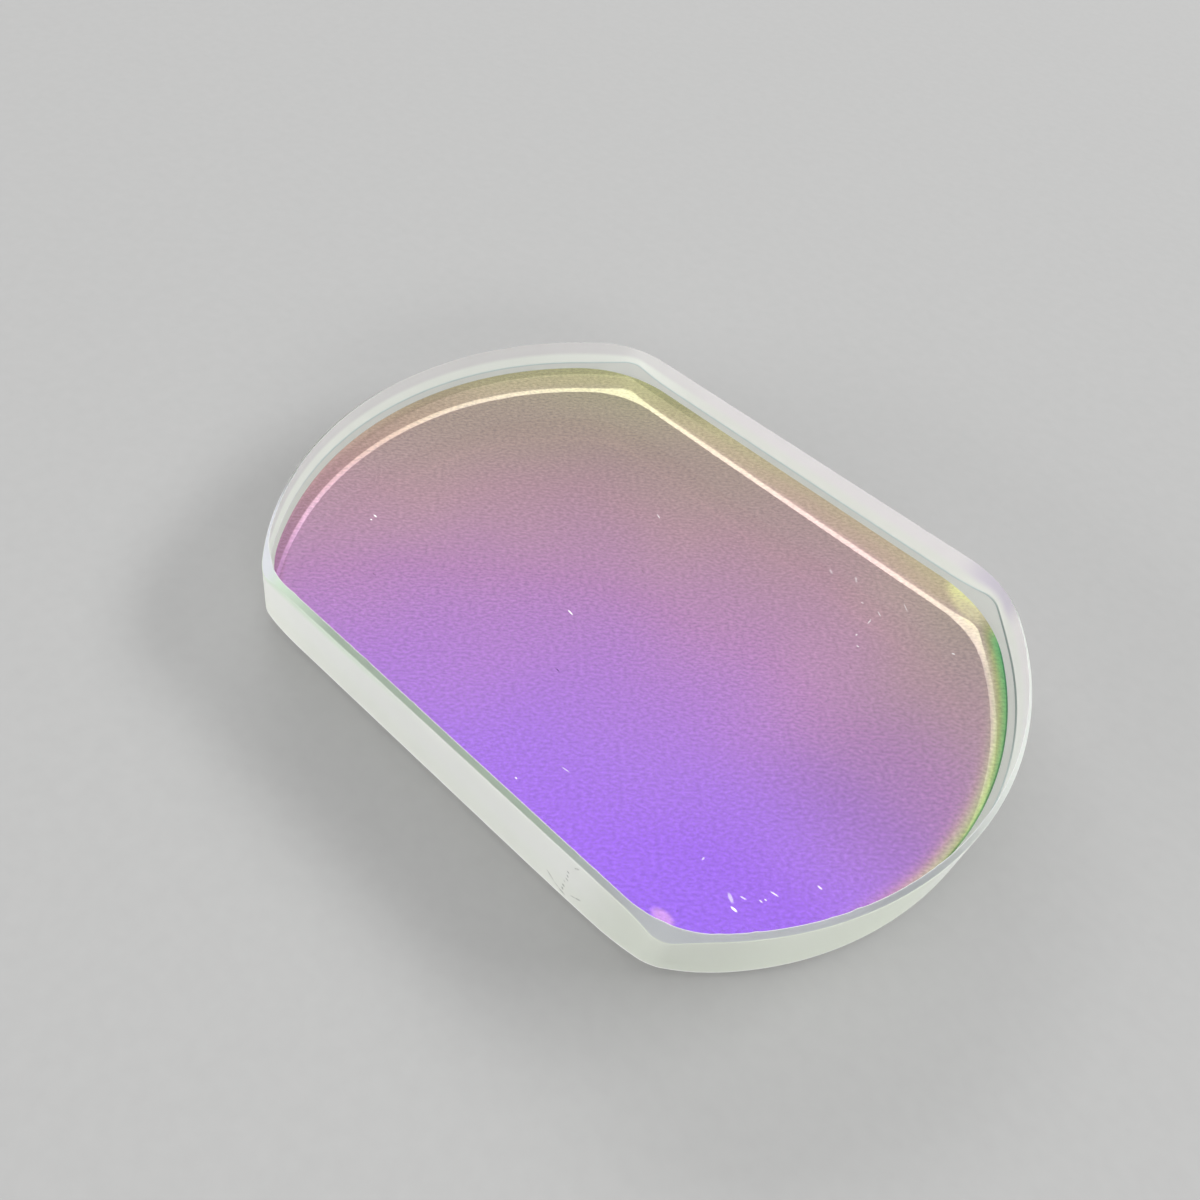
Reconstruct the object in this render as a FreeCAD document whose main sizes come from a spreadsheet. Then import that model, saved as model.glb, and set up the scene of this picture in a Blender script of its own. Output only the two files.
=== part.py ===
import FreeCAD, Part
import math
import os
import Sketcher

# Optical filter: one thick glass plate with a double-D outline.
# A round blank is cut by two parallel flats, and its four corners are eased.
# The wall and the bevels are fine ground. The two large faces are polished.
# The colour-selecting coating on the lower face is far thinner than a drawing
# can show, so it has no solid of its own.
#
# Frame: the origin is the middle of the lower face, +Z points up through the
# plate, +X runs along its length and the two flats face +Y and -Y.

# Driving sizes, in millimetres and degrees
SIZES = {
    "disc_diameter": (60.0, "circle of the round ends, so the length of the plate"),
    "width_across_flats": (45.0, "from one flat to the other"),
    "plate_thickness": (6.0, "from the lower polished face to the upper one"),
    "blank_corner_radius": (2.5, "where a flat meets a round end, on the ground wall"),
    "upper_bevel_width": (0.4, "upper bevel along the flats and the round ends"),
    "upper_face_corner_radius": (7.5, "corner of the upper polished face"),
    "lower_bevel_width": (0.55, "lower bevel along the flats and the round ends"),
    "lower_face_corner_radius": (10.0, "corner of the lower polished face"),
    "bevel_angle": (45.0, "between a bevel and the wall"),
}

# How a sketch names a piece's first end, last end and centre, and its own origin
START, END, CENTRE = 1, 2, 3
ORIGIN = (-1, 1)

doc = FreeCAD.newDocument("OpticalFilter")


def add_sheet(name, sizes):
    """Spreadsheet with one row for each size: its name, its number and what it measures."""
    sheet = doc.addObject("Spreadsheet::Sheet", name)
    for row, (alias, (number, meaning)) in enumerate(sizes.items(), start=1):
        sheet.set(f"A{row}", alias)
        sheet.set(f"B{row}", str(number))
        sheet.set(f"C{row}", meaning)
        sheet.setAlias(f"B{row}", alias)
    doc.recompute()
    return sheet


sheet = add_sheet("Sizes", SIZES)


def add_sketch(body, name, height=None):
    """Sketch on the body's own XY plane, lifted to the height that an expression gives."""
    sketch = body.newObject("Sketcher::SketchObject", name)
    plane = next(item for item in body.Origin.OriginFeatures if item.Role == "XY_Plane")
    sketch.AttachmentSupport = [(plane, "")]
    sketch.MapMode = "FlatFace"
    if height is not None:
        sketch.setExpression("AttachmentOffset.Base.z", height)
    return sketch


def bind(sketch, name, formula, *rule):
    """Add a measured constraint, name it and tie its size to the sheet by a formula."""
    present = sketch.evalExpression(formula)
    index = sketch.addConstraint(Sketcher.Constraint(*rule, present))
    sketch.renameConstraint(index, name)
    sketch.setExpression(f"Constraints.{name}", formula)


def add_double_d(sketch, radius, half_width, corner):
    """Draw two round ends about the centre, two flats and four tangent corner arcs.

    Each size is an expression on the sheet. Its present value also places the
    first drawing, so that the constraints start from the right form.
    """
    formulas = {"end_radius": radius, "half_width": half_width, "corner_radius": corner}
    start = {name: sketch.evalExpression(formula) for name, formula in formulas.items()}
    inner_y = start["half_width"] - start["corner_radius"]
    inner_x = math.sqrt((start["end_radius"] - start["corner_radius"]) ** 2 - inner_y**2)
    turn = math.atan2(inner_y, inner_x)
    quarter = math.pi / 2

    def arc(x, y, arc_radius, first, last):
        circle = Part.Circle(FreeCAD.Vector(x, y, 0), FreeCAD.Vector(0, 0, 1), arc_radius)
        return sketch.addGeometry(Part.ArcOfCircle(circle, first, last))

    def flat(x_first, x_last, y):
        first, last = FreeCAD.Vector(x_first, y, 0), FreeCAD.Vector(x_last, y, 0)
        return sketch.addGeometry(Part.LineSegment(first, last))

    def corner_arc(side_x, side_y, first, last):
        return arc(side_x * inner_x, side_y * inner_y, start["corner_radius"], first, last)

    right_end = arc(0, 0, start["end_radius"], -turn, turn)
    far_right = corner_arc(1, 1, turn, quarter)
    far_flat = flat(inner_x, -inner_x, start["half_width"])
    far_left = corner_arc(-1, 1, quarter, 2 * quarter - turn)
    left_end = arc(0, 0, start["end_radius"], 2 * quarter - turn, 2 * quarter + turn)
    near_left = corner_arc(-1, -1, 2 * quarter + turn, 3 * quarter)
    near_flat = flat(-inner_x, inner_x, -start["half_width"])
    near_right = corner_arc(1, -1, 3 * quarter, 4 * quarter - turn)

    def constrain(*rule):
        return sketch.addConstraint(Sketcher.Constraint(*rule))

    loop = [right_end, far_right, far_flat, far_left, left_end, near_left, near_flat, near_right]
    for piece, following in zip(loop, loop[1:] + loop[:1]):
        constrain("Tangent", piece, END, following, START)
    for end in (right_end, left_end):
        constrain("Coincident", end, CENTRE, *ORIGIN)
    constrain("Equal", right_end, left_end)
    for other in (far_left, near_left, near_right):
        constrain("Equal", far_right, other)
    for side in (far_flat, near_flat):
        constrain("Horizontal", side)

    bind(sketch, "end_radius", radius, "Radius", right_end)
    bind(sketch, "corner_radius", corner, "Radius", far_right)
    bind(sketch, "far_half_width", half_width, "DistanceY", *ORIGIN, far_flat, START)
    bind(sketch, "near_half_width", half_width, "DistanceY", near_flat, START, *ORIGIN)


def add_bevels(body, side, height, reversed_cut):
    """Grind the bevels of one polished face, as a tapered cut all round it.

    The cut starts at the edge of the polished face and leans outwards as it goes
    into the plate. What it takes off is drawn as a ring, from that edge out to a
    circle twice as wide as the plate. The polished face has rounder corners than
    the wall, so the bevel is narrow along the flats and the round ends, and at each
    corner it grows wide and its lower edge dips into the wall.
    """
    bevel = f"Sizes.{side}_bevel_width"
    sketch = add_sketch(body, f"{side}_polished_face", height)
    add_double_d(
        sketch,
        radius=f"Sizes.disc_diameter / 2 - {bevel}",
        half_width=f"Sizes.width_across_flats / 2 - {bevel}",
        corner=f"Sizes.{side}_face_corner_radius",
    )
    stock = "Sizes.disc_diameter"
    up = FreeCAD.Vector(0, 0, 1)
    rim = sketch.addGeometry(Part.Circle(FreeCAD.Vector(), up, sketch.evalExpression(stock)))
    sketch.addConstraint(Sketcher.Constraint("Coincident", rim, CENTRE, *ORIGIN))
    bind(sketch, "stock_radius", stock, "Radius", rim)
    doc.recompute()

    blank_volume = body.Shape.Volume
    cut = body.newObject("PartDesign::Pocket", f"{side}_bevels")
    cut.Profile = sketch
    cut.Reversed = reversed_cut
    cut.setExpression("Length", "Sizes.plate_thickness")
    cut.setExpression("TaperAngle", "Sizes.bevel_angle")
    sketch.Visibility = False
    doc.recompute()
    if not 0 < cut.Shape.Volume < blank_volume:
        raise RuntimeError(f"the {side} bevels took nothing off the blank")
    return cut


# The blank: the ground wall at its full height
plate = doc.addObject("PartDesign::Body", "FilterPlate")
plate.Label = "filter_plate"
outline = add_sketch(plate, "blank_outline")
add_double_d(
    outline,
    radius="Sizes.disc_diameter / 2",
    half_width="Sizes.width_across_flats / 2",
    corner="Sizes.blank_corner_radius",
)
blank = plate.newObject("PartDesign::Pad", "blank")
blank.Profile = outline
blank.setExpression("Length", "Sizes.plate_thickness")
outline.Visibility = False
doc.recompute()

# The bevels: the upper cut runs down from the upper face, the lower one up from the lower face
add_bevels(plate, "upper", height="Sizes.plate_thickness", reversed_cut=False)
add_bevels(plate, "lower", height=None, reversed_cut=True)

# The plate lies on its lower face, in its own frame
plate.Placement = FreeCAD.Placement(FreeCAD.Vector(0, 0, 0), FreeCAD.Rotation())
doc.recompute()

for item in doc.Objects:
    if "Invalid" in item.State or "Error" in item.State:
        raise RuntimeError(f"{item.Name} failed: {item.State}")

pieces = [item for item in doc.Objects if item.TypeId == "PartDesign::Body"]
for piece in pieces:
    shape = piece.Shape
    if shape.isNull() or not shape.isValid() or len(shape.Solids) != 1:
        raise RuntimeError(f"{piece.Label} is not one valid solid")

os.makedirs("parts", exist_ok=True)
for piece in pieces:
    piece.Shape.exportStep(f"parts/{piece.Label}.step")
    box = piece.Shape.optimalBoundingBox()
    print(piece.Label, "volume", round(piece.Shape.Volume, 2))
    print("box", [round(side, 3) for side in (box.XLength, box.YLength, box.ZLength)])
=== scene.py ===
import math

import bpy
import numpy as np
from mathutils import Euler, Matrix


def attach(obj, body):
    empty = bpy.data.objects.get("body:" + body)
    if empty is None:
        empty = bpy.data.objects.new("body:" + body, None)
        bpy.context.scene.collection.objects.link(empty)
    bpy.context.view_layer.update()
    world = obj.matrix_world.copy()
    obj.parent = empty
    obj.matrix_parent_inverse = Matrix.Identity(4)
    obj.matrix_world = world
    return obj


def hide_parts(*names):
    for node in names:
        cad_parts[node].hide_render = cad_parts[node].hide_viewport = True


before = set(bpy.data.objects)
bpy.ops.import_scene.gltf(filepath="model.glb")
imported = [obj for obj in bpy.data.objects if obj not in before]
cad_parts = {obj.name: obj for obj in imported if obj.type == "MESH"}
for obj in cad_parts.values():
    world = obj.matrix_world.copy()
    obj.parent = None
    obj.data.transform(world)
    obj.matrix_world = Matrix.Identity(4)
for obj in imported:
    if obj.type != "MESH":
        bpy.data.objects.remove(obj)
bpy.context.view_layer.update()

# Optical filter: a thick glass plate with a double-D outline. Its wall and
# bevels are fine ground, its upper face is polished, and its lower face has a
# coating whose colour changes with the angle of view.
#
# Frame: metres, origin in the middle of the coated face, +Z up through the
# plate, +X along its length. Sizes below are in millimetres.

MM = 0.001

# The plate, with the same sizes as its solid
END_RADIUS = 30.0
HALF_WIDTH = 22.5
THICKNESS = 6.0
WALL_CORNER = 2.5
UPPER_BEVEL = 0.4
UPPER_CORNER = 7.5
LOWER_BEVEL = 0.55
LOWER_CORNER = 10.0

# How finely the outline is divided: a round end, a corner and a flat
END_STEPS = 260
CORNER_STEPS = 60
FLAT_STEPS = 180

ARRIS_ROUNDING = 0.06    # length that a ground arris loses on each side
REFRACTION = 1.46        # silica glass

# The two near corners are ground back by hand: where, how deep, and how far that
# reaches to the left and to the right. At the left corner the whole wall gives
# way, and the polished face's edge by a share of it. At the right one only the
# wall's foot and the coating's edge do.
LEFT_EASING = dict(spot=(-20.3, -22.1), depth=0.28, fade_left=10.7, fade_right=1.2)
RIGHT_EASING = dict(spot=(22.3, -23.5), depth=0.23, fade_left=6.8, fade_right=7.5)
EASING_OF_FACE_EDGE = 0.6

# The small chips along the edge of the polished face
CHIP_COUNT = 90
CHIP_DEPTH = 0.06

# Loops of the mesh beside an edge, in millimetres from it
NEAR_ARRIS = 0.12
NEAR_FACE_EDGE = 0.05
BEVEL_MARGIN = 0.14
WALL_MARGINS = (0.5, 0.25)

# Loops elsewhere: how many on the wall, and shares of the way on a bevel or a face
WALL_LOOPS = 7
LOWER_BEVEL_LOOPS = (0.3, 0.6)
UPPER_BEVEL_LOOPS = (0.4, 0.7)
FACE_LOOPS = (0.25, 0.5, 0.7, 0.84, 0.93, 0.97, 0.99)

SHARP_ANGLE = 30.0       # degrees between two strips, past which the edge isn't shaded smooth

# Optical finishes, as places in the list of materials
POLISHED, FACE_EDGE, UPPER_GROUND, WALL, LOWER_ARRIS, LOWER_GROUND, COATED = range(7)


# The plate's mesh

def corner_centre(radius, half_width, corner):
    """Centre of the far right corner arc, which touches the flat and the round end from inside.

    It lies a corner's radius below the flat, and the two radii's difference from the origin.
    """
    y = half_width - corner
    return math.sqrt((radius - corner) ** 2 - y**2), y


def outline(radius, half_width, corner):
    """Points of a double-D outline, counterclockwise from the middle of the right end.

    A quarter is an arc of the round end about the origin, a corner arc that is
    tangent to it, and half a flat. The other quarters are its mirror images.
    """
    x, y = corner_centre(radius, half_width, corner)
    turn = math.atan2(y, x)
    end = np.linspace(0, turn, END_STEPS // 2, endpoint=False)
    bend = np.linspace(turn, math.pi / 2, CORNER_STEPS, endpoint=False)
    run = np.linspace(x, 0, FLAT_STEPS // 2, endpoint=False)
    quarter = np.concatenate([
        radius * np.stack([np.cos(end), np.sin(end)], 1),
        (x, y) + corner * np.stack([np.cos(bend), np.sin(bend)], 1),
        np.stack([run, np.full_like(run, half_width)], 1),
    ])
    middle = np.array([[0.0, half_width]])
    half = np.concatenate([quarter, middle, (quarter * (-1, 1))[:0:-1]])
    return np.concatenate([half, -half])


def nearest(points, radius, half_width, corner):
    """Nearest points on a smaller double-D outline.

    A point beside the flat drops straight onto it, one beside the round end
    goes towards the origin, and one in between towards the corner's centre.
    """
    x, y = corner_centre(radius, half_width, corner)
    size = np.abs(points)
    sign = np.where(points < 0, -1.0, 1.0)
    from_corner = size - (x, y)
    reach = np.hypot(*from_corner.T)[:, None]
    at_corner = (x, y) + corner * from_corner / reach
    at_flat = np.stack([size[:, 0], np.full(len(size), half_width)], 1)
    at_end = radius * size / np.hypot(*size.T)[:, None]
    beside_flat = size[:, :1] < x
    beside_end = size[:, 1:] * x < size[:, :1] * y
    return sign * np.where(beside_flat, at_flat, np.where(beside_end, at_end, at_corner))


def lifted(points, height):
    """Points of an outline at a height, or at one height each."""
    return np.column_stack([points, np.broadcast_to(height, len(points))])


def between(start, end, gaps=(), shares=()):
    """Loops on the straight lines from start to end.

    They lie at gaps in millimetres from the end, or at shares of the way to it.
    """
    length = np.linalg.norm(end - start, axis=1, keepdims=True)
    parts = [np.full_like(length, share) for share in shares] + [1 - gap / length for gap in gaps]
    return [start + (end - start) * part for part in parts]


def rounded(before, corner, after):
    """Three loops that round off an arris: the arc's two tangent points and its middle.

    Both tangent points lie the same length away from the arris. The middle lies on
    the line that halves the arris, at that length times the tangent of a quarter of
    the turn from one side to the other.
    """
    def towards(goal):
        step = goal - corner
        return step / np.linalg.norm(step, axis=1, keepdims=True)

    back = towards(before)
    on = towards(after)
    inner = back + on
    half_turn = np.arcsin(np.clip(np.linalg.norm(inner, axis=1, keepdims=True) / 2, 0, 1))
    inner = inner / np.linalg.norm(inner, axis=1, keepdims=True)
    middle = corner + inner * ARRIS_ROUNDING * np.tan(half_turn / 2)
    return [corner + back * ARRIS_ROUNDING, middle, corner + on * ARRIS_ROUNDING]


def nicks(loop, count, deepest, seed):
    """Depth of the small chips along a loop.

    A chip is its depth * exp(-(distance / width)^2), measured along the loop from a
    random place, and the deepest one counts at each point.
    """
    draw = np.random.default_rng(seed)
    step = np.linalg.norm(np.roll(loop, -1, 0) - loop, axis=1)
    along = np.cumsum(step) - step
    around = step.sum()
    place = draw.uniform(0, around, count)
    width = draw.uniform(0.12, 0.4, count)
    depth = deepest * draw.uniform(0.1, 1.0, count) ** 3
    apart = np.abs(along[:, None] - place)
    apart = np.minimum(apart, around - apart)
    return (depth * np.exp(-((apart / width) ** 2))).max(1)


def easing(points, spot, depth, fade_left, fade_right):
    """How far a corner is ground back at each point of an outline.

    That is depth * exp(-(distance from the spot / fade)^2), with one fade to the
    left of the spot and another to its right.
    """
    fade = np.where(points[:, 0] > spot[0], fade_right, fade_left)
    return depth * np.exp(-(np.hypot(*(points - spot).T) / fade) ** 2)


def plate_loops():
    """Closed loops from the lower face, out and up round the rim, to the upper face.

    Each point of the wall's outline has its own nearest points on the outlines
    of the two polished faces, and the near corners are eased. A bevel runs from
    the one to the other at 45 degrees, so where the faces have rounder corners the
    bevel grows wide and its arris dips into the wall. The small chips come off the
    upper face's edge last. Returns the loops, and for each one the finish of the
    strip that ends at it.
    """
    wall = outline(END_RADIUS, HALF_WIDTH, WALL_CORNER)
    low = nearest(wall, END_RADIUS - LOWER_BEVEL, HALF_WIDTH - LOWER_BEVEL, LOWER_CORNER)
    high = nearest(wall, END_RADIUS - UPPER_BEVEL, HALF_WIDTH - UPPER_BEVEL, UPPER_CORNER)
    inward = (high - wall) / np.linalg.norm(high - wall, axis=1)[:, None]
    near_left = inward * easing(wall, **LEFT_EASING)[:, None]
    near_right = inward * easing(wall, **RIGHT_EASING)[:, None]
    high_wall = wall + near_left
    low_wall = high_wall + near_right
    high = high + near_left * EASING_OF_FACE_EDGE
    low = low + near_right
    low_gap = np.linalg.norm(low_wall - low, axis=1)
    high_gap = np.linalg.norm(high_wall - high, axis=1)
    high = high + inward * nicks(high, CHIP_COUNT, CHIP_DEPTH, seed=3)[:, None]

    coat_edge = lifted(low, 0.0)
    low_arris = lifted(low_wall, low_gap)
    high_arris = lifted(high_wall, THICKNESS - high_gap)
    face_edge = lifted(high, THICKNESS)

    coated = [coat_edge * (share, share, 1) for share in FACE_LOOPS]
    polished = [face_edge * (share, share, 1) for share in FACE_LOOPS[::-1]]
    wall_shares = np.linspace(0, 1, WALL_LOOPS + 2)[1:-1]
    loops, finishes = [], []

    def strips(new_loops, finish):
        loops.extend(new_loops)
        finishes.extend([finish] * len(new_loops))

    strips(coated + [coat_edge], COATED)
    strips(between(coat_edge, low_arris, shares=LOWER_BEVEL_LOOPS), LOWER_GROUND)
    strips(between(coat_edge, low_arris, gaps=(BEVEL_MARGIN,)), LOWER_GROUND)
    strips(rounded(coat_edge, low_arris, high_arris), LOWER_ARRIS)
    strips(between(high_arris, low_arris, gaps=(NEAR_ARRIS,)), LOWER_ARRIS)
    strips(between(high_arris, low_arris, gaps=WALL_MARGINS[::-1]), WALL)
    strips(between(low_arris, high_arris, shares=wall_shares), WALL)
    strips(between(low_arris, high_arris, gaps=(*WALL_MARGINS, NEAR_ARRIS)), WALL)
    strips(rounded(low_arris, high_arris, face_edge), WALL)
    strips(between(face_edge, high_arris, gaps=(BEVEL_MARGIN,)), UPPER_GROUND)
    strips(between(high_arris, face_edge, shares=UPPER_BEVEL_LOOPS), UPPER_GROUND)
    strips(between(high_arris, face_edge, gaps=(NEAR_FACE_EDGE,)), UPPER_GROUND)
    strips([face_edge], FACE_EDGE)
    strips(polished, POLISHED)
    return loops, finishes


def plate_mesh(name):
    """Mesh of the plate: a grid of loops by outline points, closed at the middle of each face by a fan."""
    loops, finishes = plate_loops()
    rows, columns = len(loops), len(loops[0])
    middles = np.array([[0, 0, 0], [0, 0, THICKNESS]], float)
    points = np.concatenate([np.concatenate(loops), middles]) * MM

    index = np.arange(rows * columns).reshape(rows, columns)
    following = np.roll(index, -1, 1)
    quads = np.stack([index[:-1], following[:-1], following[1:], index[1:]], -1).reshape(-1, 4)
    bottom = np.stack([following[0], index[0], np.full(columns, rows * columns)], -1)
    top = np.stack([index[-1], following[-1], np.full(columns, rows * columns + 1)], -1)

    mesh = bpy.data.meshes.new(name)
    mesh.from_pydata(points.tolist(), [], quads.tolist() + bottom.tolist() + top.tolist())
    finish = np.concatenate([
        np.repeat(finishes[1:], columns),
        np.full(columns, COATED),
        np.full(columns, POLISHED),
    ]).astype(np.int32)
    mesh.polygons.foreach_set("material_index", finish)
    mesh.polygons.foreach_set("use_smooth", np.ones(len(finish), bool))
    mesh.update()
    mesh.set_sharp_from_angle(angle=math.radians(SHARP_ANGLE))
    return mesh


# Materials

def add(tree, kind, inputs=None, **settings):
    """New node. An input takes a plain value, or a socket that is linked to it."""
    node = tree.nodes.new(kind)
    for name, setting in settings.items():
        setattr(node, name, setting)
    for name, value in (inputs or {}).items():
        if isinstance(value, bpy.types.NodeSocket):
            tree.links.new(value, node.inputs[name])
        else:
            node.inputs[name].default_value = value
    return node


def maths(tree, operation, *values):
    """One step of arithmetic on plain values or sockets."""
    return add(tree, "ShaderNodeMath", dict(enumerate(values)), operation=operation).outputs[0]


def smooth_range(tree, value, low, high, to_low=0.0, to_high=1.0):
    """Value carried from one range to another along a smooth step, and held at its ends."""
    inputs = {"Value": value, "From Min": low, "From Max": high, "To Min": to_low, "To Max": to_high}
    return add(tree, "ShaderNodeMapRange", inputs, interpolation_type="SMOOTHSTEP").outputs[0]


def region(tree, *steps):
    """Soft mask: the product of smooth steps.

    A step is an axis, and where on it the mask starts and is full, in millimetres.
    """
    mask = None
    for axis, start, full in steps:
        step = smooth_range(tree, axis, start * MM, full * MM)
        mask = step if mask is None else maths(tree, "MULTIPLY", mask, step)
    return mask


def linear_range(tree, value, low, high, to_low=0.0, to_high=1.0):
    """Value carried from one range to another in proportion, and held at its ends."""
    inputs = {"Value": value, "From Min": low, "From Max": high, "To Min": to_low, "To Max": to_high}
    return add(tree, "ShaderNodeMapRange", inputs).outputs[0]


def mix_colour(tree, share, first, second):
    """The first colour where the share is 0, the second where it is 1."""
    node = add(tree, "ShaderNodeMix", data_type="RGBA")
    for socket, value in ((node.inputs[0], share), (node.inputs[6], first), (node.inputs[7], second)):
        if isinstance(value, bpy.types.NodeSocket):
            tree.links.new(value, socket)
        elif socket.type == "RGBA":
            socket.default_value = (*value, 1.0)
        else:
            socket.default_value = value
    return node.outputs[2]


def ramp(tree, value, stops):
    """Colour ramp with (place, colour) stops."""
    node = add(tree, "ShaderNodeValToRGB", {"Fac": value})
    elements = node.color_ramp.elements
    while len(elements) < len(stops):
        elements.new(0.5)
    for element, (place, colour) in zip(elements, stops):
        element.position = place
        element.color = (*colour, 1.0)
    return node.outputs[0]


def noise(tree, place, size_mm, detail):
    """Noise whose grains are about size_mm wide."""
    values = {"Vector": place, "Scale": 1 / (size_mm * MM), "Detail": detail}
    return add(tree, "ShaderNodeTexNoise", values).outputs["Fac"]


def material(name):
    """New material without nodes, its node tree, and the place on the object in metres."""
    new = bpy.data.materials.new(name)
    new.use_nodes = True
    tree = new.node_tree
    tree.nodes.clear()
    place = add(tree, "ShaderNodeTexCoord").outputs["Object"]
    return new, tree, place


def finish_with(tree, shader):
    """Send a shader to the material's output."""
    add(tree, "ShaderNodeOutputMaterial", {"Surface": shader})


def axes_of(tree, place):
    """X, Y and Z of a place, as three sockets."""
    return add(tree, "ShaderNodeSeparateXYZ", {"Vector": place}).outputs


def marks_mask(tree, first, second, marks):
    """Soft mask of small straight marks on a flat surface with the two given axes.

    A mark is (first, second, first, second, width, strength): its two ends and its
    width in millimetres. Each one is an ellipse about the line between its ends,
    at its full strength near the middle and soft towards the edge. Where marks meet
    the stronger one counts.
    """
    surface = add(tree, "ShaderNodeCombineXYZ", {"X": first, "Y": second}).outputs[0]
    total = None
    for x0, y0, x1, y1, width, strength in marks:
        length = math.hypot(x1 - x0, y1 - y0)
        on_ellipse = add(tree, "ShaderNodeMapping", {
            "Vector": surface,
            "Location": ((x0 + x1) / 2 * MM, (y0 + y1) / 2 * MM, 0),
            "Rotation": (0, 0, math.atan2(y1 - y0, x1 - x0)),
            "Scale": ((length + width) / 2 * MM, width / 2 * MM, 1),
        }, vector_type="TEXTURE").outputs[0]
        reach = add(tree, "ShaderNodeVectorMath", {0: on_ellipse}, operation="LENGTH").outputs["Value"]
        mask = smooth_range(tree, reach, 1.0, 0.4, 0.0, strength)
        total = mask if total is None else maths(tree, "MAXIMUM", total, mask)
    return total


# Pencil strokes on the near flat: x and z of the two ends, width and strength
PENCIL_STROKES = (
    (10.95, 2.00, 11.75, 1.38, 0.20, 0.50),
    (11.70, 1.40, 12.30, 1.10, 0.16, 0.30),
    (12.20, 1.14, 12.80, 0.95, 0.22, 0.60),
    (12.92, 4.92, 13.24, 5.22, 0.22, 0.45),
    (12.48, 3.90, 12.62, 3.80, 0.17, 0.70),
    (12.55, 3.46, 12.63, 3.28, 0.19, 0.75),
    (12.52, 3.00, 12.70, 2.88, 0.19, 0.60),
    (12.44, 2.55, 12.50, 2.45, 0.20, 0.30),
    (12.44, 1.98, 12.53, 1.86, 0.24, 0.65),
    (12.43, 1.58, 12.52, 1.42, 0.20, 0.70),
    (13.18, 1.48, 13.60, 1.70, 0.17, 0.45),
    (13.60, 1.70, 13.98, 1.93, 0.22, 0.60),
)


def wall_colour(tree, place):
    """Grey white wall, yellower low down and darker along the far side, with painted shade high on the left
    end and greenish at the near right, a dark lilac patch at the far right, painted greenish light below the
    bevel on the near flat, and pencil strokes on the near flat.
    """
    axes = axes_of(tree, place)
    patches = noise(tree, place, 3.5, detail=2)
    upward = region(tree, (axes["Z"], 1.8, 3.6))
    near_low = mix_colour(tree, patches, (0.93, 0.95, 0.885), (0.96, 0.975, 0.92))
    near_high = mix_colour(tree, patches, (0.955, 0.965, 0.93), (0.98, 0.985, 0.955))
    far_low = mix_colour(tree, patches, (0.87, 0.875, 0.82), (0.90, 0.895, 0.85))
    far_high = mix_colour(tree, patches, (0.90, 0.855, 0.865), (0.92, 0.875, 0.885))
    near = mix_colour(tree, upward, near_low, near_high)
    far = mix_colour(tree, upward, far_low, far_high)
    colour = mix_colour(tree, region(tree, (axes["Y"], 5, 18)), near, far)

    # Painted shade: the upper part of the wall at the left end is darker and pinker
    at_left_end = region(tree, (axes["X"], -8, -20), (axes["Y"], -21.5, -18.5))
    left_low = mix_colour(tree, patches, (0.94, 0.96, 0.90), (0.97, 0.98, 0.93))
    left_high_painted_shade = mix_colour(tree, patches, (0.80, 0.775, 0.775), (0.84, 0.815, 0.81))
    left = mix_colour(tree, region(tree, (axes["Z"], 2.1, 3.1)), left_low, left_high_painted_shade)
    colour = mix_colour(tree, at_left_end, colour, left)

    # Painted greenish shade at the near right, deepest next to the near flat
    near_right_painted_shade = region(tree, (axes["X"], 12, 18), (axes["Y"], -2, -8))
    away_from_flat = region(tree, (axes["Y"], -22, -15))
    near_right = mix_colour(tree, away_from_flat, (0.81, 0.84, 0.76), (0.92, 0.96, 0.86))
    colour = mix_colour(tree, near_right_painted_shade, colour, near_right)
    at_far_right = region(tree, (axes["X"], 15.5, 19), (axes["Y"], 19.5, 21.5), (axes["Z"], 1.4, 3.4))
    colour = mix_colour(tree, at_far_right, colour, (0.70, 0.64, 0.74))
    # Painted greenish light from the coating, just below the bevel on the near flat
    painted_light_below_bevel = region(tree, (axes["X"], 0, -12), (axes["Y"], -20, -22), (axes["Z"], 4.7, 5.6))
    colour = mix_colour(tree, painted_light_below_bevel, colour, (0.80, 0.91, 0.78))

    on_near_flat = maths(tree, "LESS_THAN", axes["Y"], (0.1 - HALF_WIDTH) * MM)
    pencil = marks_mask(tree, axes["X"], axes["Z"], PENCIL_STROKES)
    grain = noise(tree, place, 0.12, detail=2)
    pencil = maths(tree, "MULTIPLY", pencil, linear_range(tree, grain, 0.35, 0.55, 0.6, 1.0))
    return mix_colour(tree, maths(tree, "MULTIPLY", pencil, on_near_flat), colour, (0.26, 0.27, 0.25))


def upper_bevel_colour(tree, place):
    """Painted light from the coating: grey green along the near flat and grey blue at the near corners; paler
    along the far side.
    """
    axes = axes_of(tree, place)
    patches = noise(tree, place, 3.5, detail=2)
    # Painted light reflected by the coating: grey green along the near flat, grey blue at the near corners
    near = mix_colour(tree, patches, (0.82, 0.98, 0.80), (0.86, 1.0, 0.85))
    far = mix_colour(tree, patches, (0.94, 1.0, 0.93), (0.98, 1.0, 0.97))
    along_sides = mix_colour(tree, region(tree, (axes["Y"], -21, -14)), near, far)
    corner_painted_light = mix_colour(tree, patches, (0.90, 0.92, 0.98), (0.93, 0.95, 1.0))
    near_right = region(tree, (axes["X"], 8, 18), (axes["Y"], 0, -8))
    near_left = region(tree, (axes["X"], -17, -19.5), (axes["Y"], -13, -18))
    return mix_colour(tree, maths(tree, "MAXIMUM", near_left, near_right), along_sides, corner_painted_light)


# Share of the light that goes on through the upper bevel, along most of it and at
# the near left corner. The near right corner is that way by a part, and the right
# end takes off some more.
BEVEL_FORWARD = 0.97
NEAR_LEFT_FORWARD = 0.60
NEAR_RIGHT_PART = 0.22
RIGHT_END_LOSS = 0.34


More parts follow.
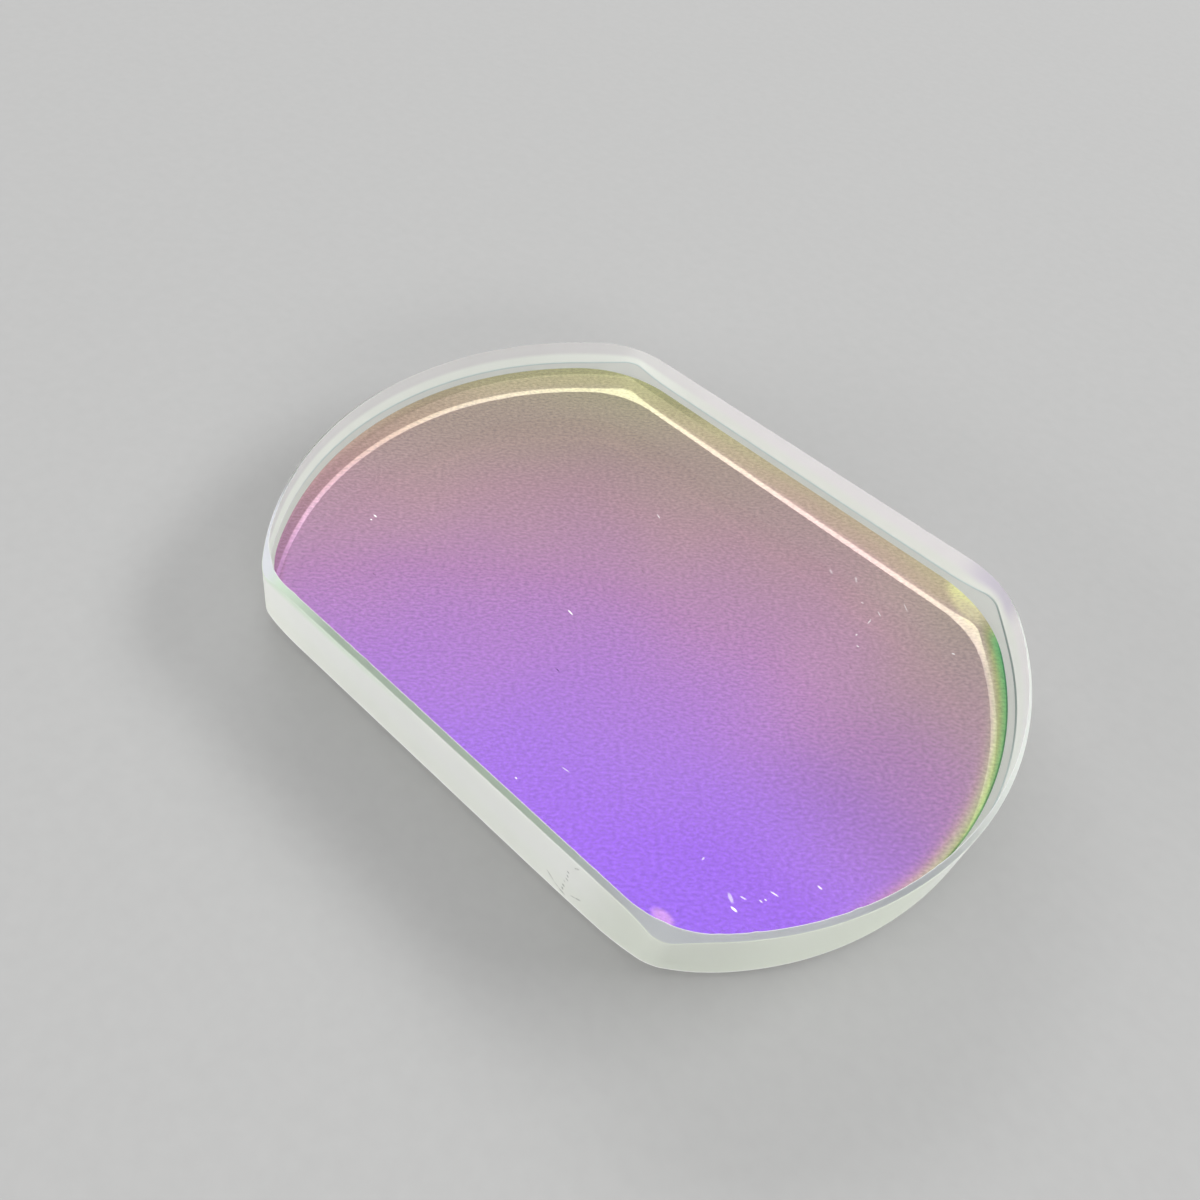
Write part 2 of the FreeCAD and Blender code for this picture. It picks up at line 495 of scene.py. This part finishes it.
def upper_bevel_forward(tree, place):
    """Share of the light that goes on through the upper bevel, at each place."""
    axes = axes_of(tree, place)
    right_end = region(tree, (axes["X"], 19, 23), (axes["Y"], -8, 8), (axes["Y"], 21, 18.5))
    near_left = region(tree, (axes["X"], -10, -19), (axes["Y"], -14, -19))
    near_right = region(tree, (axes["X"], 15, 20), (axes["Y"], -8, -14))
    near_right = maths(tree, "MULTIPLY", near_right, NEAR_RIGHT_PART)
    corners = maths(tree, "MAXIMUM", near_left, near_right)
    share = linear_range(tree, corners, 0.0, 1.0, BEVEL_FORWARD, NEAR_LEFT_FORWARD)
    return maths(tree, "SUBTRACT", share, maths(tree, "MULTIPLY", right_end, RIGHT_END_LOSS))


def face_edge_colour(tree, place):
    """Pale line of fine chips along the edge of the polished face."""
    return mix_colour(tree, noise(tree, place, 0.3, detail=2), (0.93, 0.93, 0.95), (1.0, 1.0, 1.0))


def lower_bevel_colour(tree, place):
    """Nearly white, faintly warm and uneven."""
    patches = noise(tree, place, 3.5, detail=2)
    return mix_colour(tree, patches, (0.97, 0.98, 0.93), (1.0, 1.0, 0.96))


def lower_arris_shade_colour(tree, place):
    """Thin blue grey line of painted shade along the lower arris: dark at the far right corner, pale along
    the near side.
    """
    axes = axes_of(tree, place)
    # Painted shade along the arris, darkest at the far right corner
    line = mix_colour(tree, noise(tree, place, 0.8, detail=2), (0.74, 0.83, 0.82), (0.86, 0.92, 0.90))
    line = mix_colour(tree, region(tree, (axes["Y"], -8, -16)), line, (1.0, 1.0, 0.98))
    far_right_shade = region(tree, (axes["X"], 18, 22), (axes["Y"], 6, 15))
    return mix_colour(tree, far_right_shade, line, (0.36, 0.42, 0.40))


# The ground surface's grain: how wide, how deep and how strongly it tilts the light,
# and by how much it makes the clear part rougher or smoother
GRAIN_SIZE = 0.16
GRAIN_DEPTH = 0.03
GRAIN_STRENGTH = 0.25
ROUGHNESS_SPREAD = 0.06


def ground_glass(name, colour_of, forward_share, clear_share, roughness):
    """Fine-ground glass with a fine grain.

    Part of it is rough clear glass. The rest is matte: it sends the forward share
    of the light on through the surface and the rest back from it. That share is a
    number, or a function that makes it of the place.
    """
    new, tree, place = material(name)
    if callable(forward_share):
        forward_share = forward_share(tree, place)
    colour = colour_of(tree, place)
    grain = noise(tree, place, GRAIN_SIZE, detail=3)
    bump = add(tree, "ShaderNodeBump", {
        "Height": grain,
        "Strength": GRAIN_STRENGTH,
        "Distance": GRAIN_DEPTH * MM,
    }).outputs[0]
    back = add(tree, "ShaderNodeBsdfDiffuse", {"Color": colour, "Normal": bump})
    on = add(tree, "ShaderNodeBsdfTranslucent", {"Color": colour, "Normal": bump})
    matte = add(tree, "ShaderNodeMixShader", {0: forward_share, 1: back.outputs[0], 2: on.outputs[0]})
    least, most = roughness - ROUGHNESS_SPREAD, roughness + ROUGHNESS_SPREAD
    clear = add(tree, "ShaderNodeBsdfPrincipled", {
        "Base Color": colour,
        "Roughness": linear_range(tree, grain, 0.3, 0.7, least, most),
        "IOR": REFRACTION,
        "Transmission Weight": 1.0,
        "Normal": bump,
    })
    shader = add(tree, "ShaderNodeMixShader", {0: clear_share, 1: matte.outputs[0], 2: clear.outputs[0]})
    finish_with(tree, shader.outputs[0])
    return new


# White flecks and scratches on the polished face: x and y of the two ends, width and strength
FACE_MARKS = (
    (-1.5, -7.7, -0.9, -7.8, 0.14, 1.0),
    (-18.3, -12.3, -18.0, -12.3, 0.16, 0.9),
    (-18.1, -12.8, -18.0, -12.8, 0.14, 0.8),
    (-3.7, 5.6, -3.2, 5.4, 0.12, 0.5),
    (21.55, -17.7, 21.95, -17.7, 0.22, 1.0),
    (20.9, -17.1, 21.4, -17.4, 0.35, 0.35),
    (21.5, -16.7, 21.9, -16.6, 0.15, 0.5),
    (22.5, -16.0, 22.7, -16.0, 0.13, 0.6),
    (22.7, -15.7, 22.8, -15.7, 0.13, 0.6),
    (22.6, -15.0, 23.2, -14.9, 0.15, 0.6),
    (24.5, -12.4, 24.8, -12.4, 0.18, 0.6),
    (18.3, -16.5, 18.3, -16.3, 0.16, 0.4),
    (7.5, -18.2, 8.3, -18.1, 0.10, 0.4),
    (6.1, -21.1, 6.2, -21.1, 0.16, 0.6),
    (14.5, 10.9, 15.0, 10.6, 0.11, 0.4),
    (14.7, 7.4, 14.7, 7.6, 0.13, 0.5),
    (15.3, 6.6, 15.5, 6.6, 0.13, 0.5),
    (13.1, 10.7, 13.3, 10.7, 0.11, 0.4),
    (9.5, 11.7, 9.8, 11.5, 0.30, 0.2),
    (11.3, 12.7, 11.7, 12.2, 0.25, 0.2),
    (15.3, 13.4, 16.3, 12.6, 0.09, 0.3),
    (20.7, 11.7, 20.9, 11.8, 0.15, 0.5),
    (14.7, 9.1, 14.6, 9.8, 0.15, 0.3),
)


def polished_glass(name):
    """Clear glass with faint smudges, and white flecks and scratches that let no light through."""
    new, tree, place = material(name)
    axes = axes_of(tree, place)
    smudge = noise(tree, place, 6.0, detail=3)
    marks = marks_mask(tree, axes["X"], axes["Y"], FACE_MARKS)
    shader = add(tree, "ShaderNodeBsdfPrincipled", {
        "Base Color": mix_colour(tree, marks, (0.99, 1.0, 0.995), (1.0, 0.99, 0.99)),
        "Roughness": linear_range(tree, smudge, 0.5, 0.8, 0.0, 0.03),
        "IOR": REFRACTION,
        "Transmission Weight": maths(tree, "SUBTRACT", 1.0, marks),
    })
    finish_with(tree, shader.outputs[0])
    return new


# Colour that the coating mirrors, by the cosine of the angle at which light meets it
# at the surface. Past the angle of total reflection it mirrors everything.
COAT_FROM, COAT_TO = 0.72, 1.0
COAT_COLOURS = (
    (0.730, (0.95, 0.96, 0.94)),
    (0.745, (0.62, 0.80, 0.74)),
    (0.765, (0.16, 0.58, 0.36)),
    (0.780, (0.17, 0.60, 0.26)),
    (0.800, (0.34, 0.68, 0.27)),
    (0.820, (0.60, 0.66, 0.30)),
    (0.840, (0.751, 0.641, 0.477)),
    (0.865, (0.734, 0.463, 0.554)),
    (0.885, (0.626, 0.322, 0.648)),
    (0.905, (0.535, 0.256, 0.771)),
    (0.922, (0.453, 0.211, 0.870)),
    (0.940, (0.395, 0.165, 0.919)),
    (1.000, (0.27, 0.12, 0.96)),
)

# Colour factor that leaves a colour as it is
UNCHANGED = (1.0, 1.0, 1.0)

# Painted glint on the coating at the near right corner, a pale pink spot: x and y of
# the two ends, width and strength, and then the factor on the coating's colour
COAT_PAINTED_GLINT = ((18.0, -19.5, 18.9, -19.4, 1.3, 1.0),)
COAT_PAINTED_GLINT_FACTOR = (1.9, 2.3, 1.0)

# Painted reflection on the coating at the far right corner, a pale yellow spot, in the same way
COAT_PAINTED_REFLECTION = ((16.9, 22.0, 19.5, 20.1, 3.2, 1.0),)
COAT_PAINTED_REFLECTION_FACTOR = (1.45, 1.65, 1.26)

# Thinning along the right end: how far it runs at the edge as a bell and as a steep
# line, in steps of the cosine, and how wide they are in millimetres
BELL_THINNING = 0.064
BELL_WIDTH_NEAR, BELL_WIDTH_FAR = 0.85, 1.0
LINE_THINNING = 0.02
LINE_WIDTH = 0.12


def edge_distance(tree, axes):
    """Distances from the coating's edge: to the round end, and to the nearer one of that end and the flat."""
    flat = add(tree, "ShaderNodeCombineXYZ", {"X": axes["X"], "Y": axes["Y"]}).outputs[0]
    reach = add(tree, "ShaderNodeVectorMath", {0: flat}, operation="LENGTH").outputs["Value"]
    to_end = maths(tree, "SUBTRACT", (END_RADIUS - LOWER_BEVEL) * MM, reach)
    beside = maths(tree, "ABSOLUTE", axes["Y"])
    to_flat = maths(tree, "SUBTRACT", (HALF_WIDTH - LOWER_BEVEL) * MM, beside)
    return to_end, maths(tree, "MINIMUM", to_end, to_flat)


def coat_thinning(tree, axes, to_end):
    """How far the coating's colour runs towards green along the right end, where it thins out.

    That is a bell exp(-(distance / width)^2) plus a thin line exp(-distance / width),
    both over the distance from the edge of that end.
    """
    near, far = BELL_WIDTH_NEAR * MM, BELL_WIDTH_FAR * MM
    steps_in = maths(tree, "DIVIDE", to_end, linear_range(tree, axes["Y"], -2 * MM, 14 * MM, near, far))
    squared = maths(tree, "MULTIPLY", steps_in, steps_in)
    bell = maths(tree, "EXPONENT", maths(tree, "MULTIPLY", squared, -1.0))
    line = maths(tree, "EXPONENT", maths(tree, "DIVIDE", to_end, -LINE_WIDTH * MM))
    bell = maths(tree, "MULTIPLY", bell, BELL_THINNING)
    line = maths(tree, "MULTIPLY", line, LINE_THINNING)
    thinning = maths(tree, "ADD", bell, line)
    right_end = region(tree, (axes["X"], 12, 22), (axes["Y"], -15, -5), (axes["Y"], 21.5, 18.5))
    return maths(tree, "MULTIPLY", thinning, right_end)


def coat_drift(tree, axes, place):
    """How far the coating's colour moves from place to place, as its thickness changes.

    The sum of a slope along the right end, a step at the left end and soft patches,
    in steps of the cosine.
    """
    along_right_end = linear_range(tree, axes["Y"], -14 * MM, 0.0, 0.008, -0.010)
    at_right_end = maths(tree, "MULTIPLY", region(tree, (axes["X"], 8, 20)), along_right_end)
    at_left_end = smooth_range(tree, axes["X"], -11 * MM, -20 * MM, 0.0, -0.002)
    patches = linear_range(tree, noise(tree, place, 14.0, detail=1), 0.3, 0.7, -0.003, 0.003)
    return maths(tree, "ADD", maths(tree, "ADD", at_right_end, at_left_end), patches)


def multiply_colours(tree, first, second):
    """Product of two colour sockets."""
    node = add(tree, "ShaderNodeMix", data_type="RGBA", blend_type="MULTIPLY")
    node.inputs[0].default_value = 1.0
    tree.links.new(first, node.inputs[6])
    tree.links.new(second, node.inputs[7])
    return node.outputs[2]


def coat_margin_and_painted_shade(tree, axes, inset):
    """Colour factor of the coating's margin, with painted shade where the wall is mirrored in it.

    Painted shade makes it duller along the far flat and in a band along the left end,
    which grows lighter towards the far side, and olive in a narrow strip along the
    left end. It is also duller along the right end, and dark in a thin line on the
    very edge of the right end.
    """
    at_right = region(tree, (axes["X"], 12, 22), (axes["Y"], -10, -2), (axes["Y"], 21, 18))
    right = mix_colour(tree, at_right, UNCHANGED, (0.84, 0.875, 0.87))

    # Painted shade on the mirrored image of the wall, in a band along the left end and along the far flat
    left_painted_shade = ramp(tree, linear_range(tree, axes["Y"], -15 * MM, 15 * MM), (
        (0.00, (0.90, 0.86, 0.82)),
        (0.30, (0.92, 0.87, 0.80)),
        (0.50, (0.97, 0.94, 0.85)),
        (0.80, (1.06, 1.08, 0.98)),
    ))
    far_painted_shade = mix_colour(tree, region(tree, (axes["Y"], -10, 0)), UNCHANGED, (0.88, 0.92, 0.78))
    mirrored_shade_colour = mix_colour(tree, region(tree, (axes["X"], -12, -20)), far_painted_shade, left_painted_shade)
    width = linear_range(tree, axes["Y"], -14 * MM, -2 * MM, 0.4, 1.0)
    mirrored_shade_mask = smooth_range(tree, maths(tree, "DIVIDE", inset, width), 3.0 * MM, 2.0 * MM)
    mirrored_shade_mask = maths(tree, "MULTIPLY", mirrored_shade_mask, region(tree, (axes["X"], 22, 16)))
    outer_painted_shade = mix_colour(tree, mirrored_shade_mask, UNCHANGED, mirrored_shade_colour)

    # Painted shade: a dark olive strip in the mirrored image along the left end
    olive_painted_shade = region(tree, (axes["X"], -8, -14), (axes["Y"], -8, 6), (inset, 1.0, 0.8))
    edge = mix_colour(tree, olive_painted_shade, UNCHANGED, (0.70, 0.70, 0.68))
    dark_line = region(tree, (inset, 0.18, 0.04), (axes["X"], 21, 24))
    edge = mix_colour(tree, dark_line, edge, (0.35, 0.50, 0.45))
    return multiply_colours(tree, right, multiply_colours(tree, outer_painted_shade, edge))


def coat_painted_grain_shade(tree, place):
    """Fine uneven painted light and shade, as of a grained surface seen through the coating, in streaks that
    run across the plate from near left to far right.
    """
    streaked = add(tree, "ShaderNodeMapping", {
        "Vector": place,
        "Rotation": (0, 0, math.radians(45)),
        "Scale": (1.7, 1.0, 1.0),
    }, vector_type="TEXTURE").outputs[0]
    shade = linear_range(tree, noise(tree, streaked, 0.22, detail=2), 0.3, 0.7)
    return mix_colour(tree, shade, (0.85, 0.85, 0.86), (1.14, 1.14, 1.13))


def coating(name):
    """Mirror whose colour follows the angle of view and the thickness of the coating.

    The cosine of that angle, with the drift added and the thinning taken off, is
    looked up in the list of colours. The margin with its painted shade, the painted
    grain shade and the two pale spots, a painted glint and a painted reflection, are
    factors on what it gives.
    """
    new, tree, place = material(name)
    axes = axes_of(tree, place)
    to_end, inset = edge_distance(tree, axes)
    facing = add(tree, "ShaderNodeLayerWeight", {"Blend": 0.5}).outputs["Facing"]
    cosine = maths(tree, "SUBTRACT", 1.0, facing)
    cosine = maths(tree, "ADD", cosine, coat_drift(tree, axes, place))
    cosine = maths(tree, "SUBTRACT", cosine, coat_thinning(tree, axes, to_end))
    stops = [((at - COAT_FROM) / (COAT_TO - COAT_FROM), colour) for at, colour in COAT_COLOURS]
    colour = ramp(tree, linear_range(tree, cosine, COAT_FROM, COAT_TO), stops)
    colour = multiply_colours(tree, colour, coat_margin_and_painted_shade(tree, axes, inset))
    colour = multiply_colours(tree, colour, coat_painted_grain_shade(tree, place))
    # The painted glint and the painted reflection on the coating
    for marks, factor in ((COAT_PAINTED_GLINT, COAT_PAINTED_GLINT_FACTOR), (COAT_PAINTED_REFLECTION, COAT_PAINTED_REFLECTION_FACTOR)):
        mask = marks_mask(tree, axes["X"], axes["Y"], marks)
        colour = multiply_colours(tree, colour, mix_colour(tree, mask, UNCHANGED, factor))
    shader = add(tree, "ShaderNodeBsdfPrincipled", {
        "Base Color": colour,
        "Metallic": 1.0,
        "Roughness": 0.04,
    })
    finish_with(tree, shader.outputs[0])
    return new


# The plate, and its finish on each strip of the mesh

plate = bpy.data.objects.new("coated_glass_plate", plate_mesh("coated_glass_plate"))
bpy.context.scene.collection.objects.link(plate)
finishes = {
    POLISHED: polished_glass("polished_face"),
    FACE_EDGE: ground_glass("chipped_face_edge", face_edge_colour,
                            forward_share=0.5, clear_share=0.0, roughness=0.5),
    UPPER_GROUND: ground_glass("ground_upper_bevel", upper_bevel_colour,
                               forward_share=upper_bevel_forward, clear_share=0.0, roughness=0.4),
    WALL: ground_glass("ground_wall", wall_colour,
                       forward_share=0.5, clear_share=0.15, roughness=0.5),
    LOWER_ARRIS: ground_glass("lower_arris", lower_arris_shade_colour,
                              forward_share=0.3, clear_share=0.0, roughness=0.5),
    LOWER_GROUND: ground_glass("ground_lower_bevel", lower_bevel_colour,
                               forward_share=0.28, clear_share=0.0, roughness=0.5),
    COATED: coating("coated_face"),
}
for place in sorted(finishes):
    plate.data.materials.append(finishes[place])
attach(plate, "root")
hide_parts("filter_plate")


# Floor, light and camera

def floor_paper(name):
    """Matte grey paper with faint fibres."""
    new, tree, place = material(name)
    fibres = noise(tree, place, 1.2, detail=3)
    colour = mix_colour(tree, fibres, (0.355, 0.355, 0.352), (0.38, 0.38, 0.377))
    shader = add(tree, "ShaderNodeBsdfPrincipled", {"Base Color": colour, "Roughness": 0.8})
    finish_with(tree, shader.outputs[0])
    return new


# A square floor, in metres, just clear of the plate
FLOOR_HALF = 5.0
FLOOR_HEIGHT = -0.2 * MM
floor_corners = ((-1, -1), (1, -1), (1, 1), (-1, 1))
floor_data = bpy.data.meshes.new("floor")
floor_data.from_pydata(
    [(x * FLOOR_HALF, y * FLOOR_HALF, FLOOR_HEIGHT) for x, y in floor_corners],
    [],
    [(0, 1, 2, 3)],
)
floor = bpy.data.objects.new("floor", floor_data)
floor.data.materials.append(floor_paper("floor_paper"))
bpy.context.scene.collection.objects.link(floor)

# The room: light grey low down, darker above that, and white overhead
world = bpy.data.worlds.new("studio")
world.use_nodes = True
sky = world.node_tree
sky.nodes.clear()
direction = add(sky, "ShaderNodeTexCoord").outputs["Generated"]
height = add(sky, "ShaderNodeSeparateXYZ", {"Vector": direction}).outputs["Z"]
glow = ramp(sky, height, [(place, (level, level, level)) for place, level in (
    (0.00, 0.70),
    (0.30, 0.70),
    (0.48, 0.52),
    (0.64, 0.52),
    (0.75, 0.80),
    (0.87, 1.00),
    (0.93, 1.00),
    (0.98, 1.30),
)])
background = add(sky, "ShaderNodeBackground", {"Color": glow, "Strength": 1.0})
add(sky, "ShaderNodeOutputWorld", {"Surface": background.outputs[0]})
bpy.context.scene.world = world

LAMP_DISTANCE = 2.5
LAMP_WIDTH, LAMP_HEIGHT = 1.875, 0.5


def soft_lamp(name, around, up, power):
    """Wide low lamp aimed at the plate, which lights matte surfaces only.

    It stands at degrees around from +X and degrees up from the floor, at the same
    distance as the others. Its power is in watts.
    """
    data = bpy.data.lights.new(name, "AREA")
    data.shape = "RECTANGLE"
    data.size = LAMP_WIDTH
    data.size_y = LAMP_HEIGHT
    data.energy = power
    lamp = bpy.data.objects.new(name, data)
    around, up = math.radians(around), math.radians(up)
    towards = (math.cos(around) * math.cos(up), math.sin(around) * math.cos(up), math.sin(up))
    lamp.location = [LAMP_DISTANCE * part for part in towards]
    lamp.rotation_mode = "QUATERNION"
    lamp.rotation_quaternion = lamp.location.to_track_quat("Z", "Y")
    lamp.visible_glossy = False
    lamp.visible_transmission = False
    bpy.context.scene.collection.objects.link(lamp)


soft_lamp("far_lamp", around=60, up=28, power=49.0)
soft_lamp("near_lamp", around=240, up=10, power=38.0)
soft_lamp("left_fill_lamp", around=140, up=22, power=34.0)
soft_lamp("right_fill_lamp", around=330, up=20, power=22.0)

# The camera, fitted to the plate's outline and rim: it looks down on the near right corner
camera_data = bpy.data.cameras.new("camera")
camera_data.sensor_width = 36.0
camera_data.lens = 32.865
camera_data.shift_x = 0.075
camera_data.clip_start = 0.005
camera_data.clip_end = 20.0
camera = bpy.data.objects.new("camera", camera_data)
camera.location = (0.028318, -0.053220, 0.067820)
camera.rotation_euler = Euler(tuple(math.radians(turn) for turn in (40.948, -5.897, 44.628)), "XYZ")
bpy.context.scene.collection.objects.link(camera)
bpy.context.scene.camera = camera

bpy.context.scene.view_settings.view_transform = "Standard"
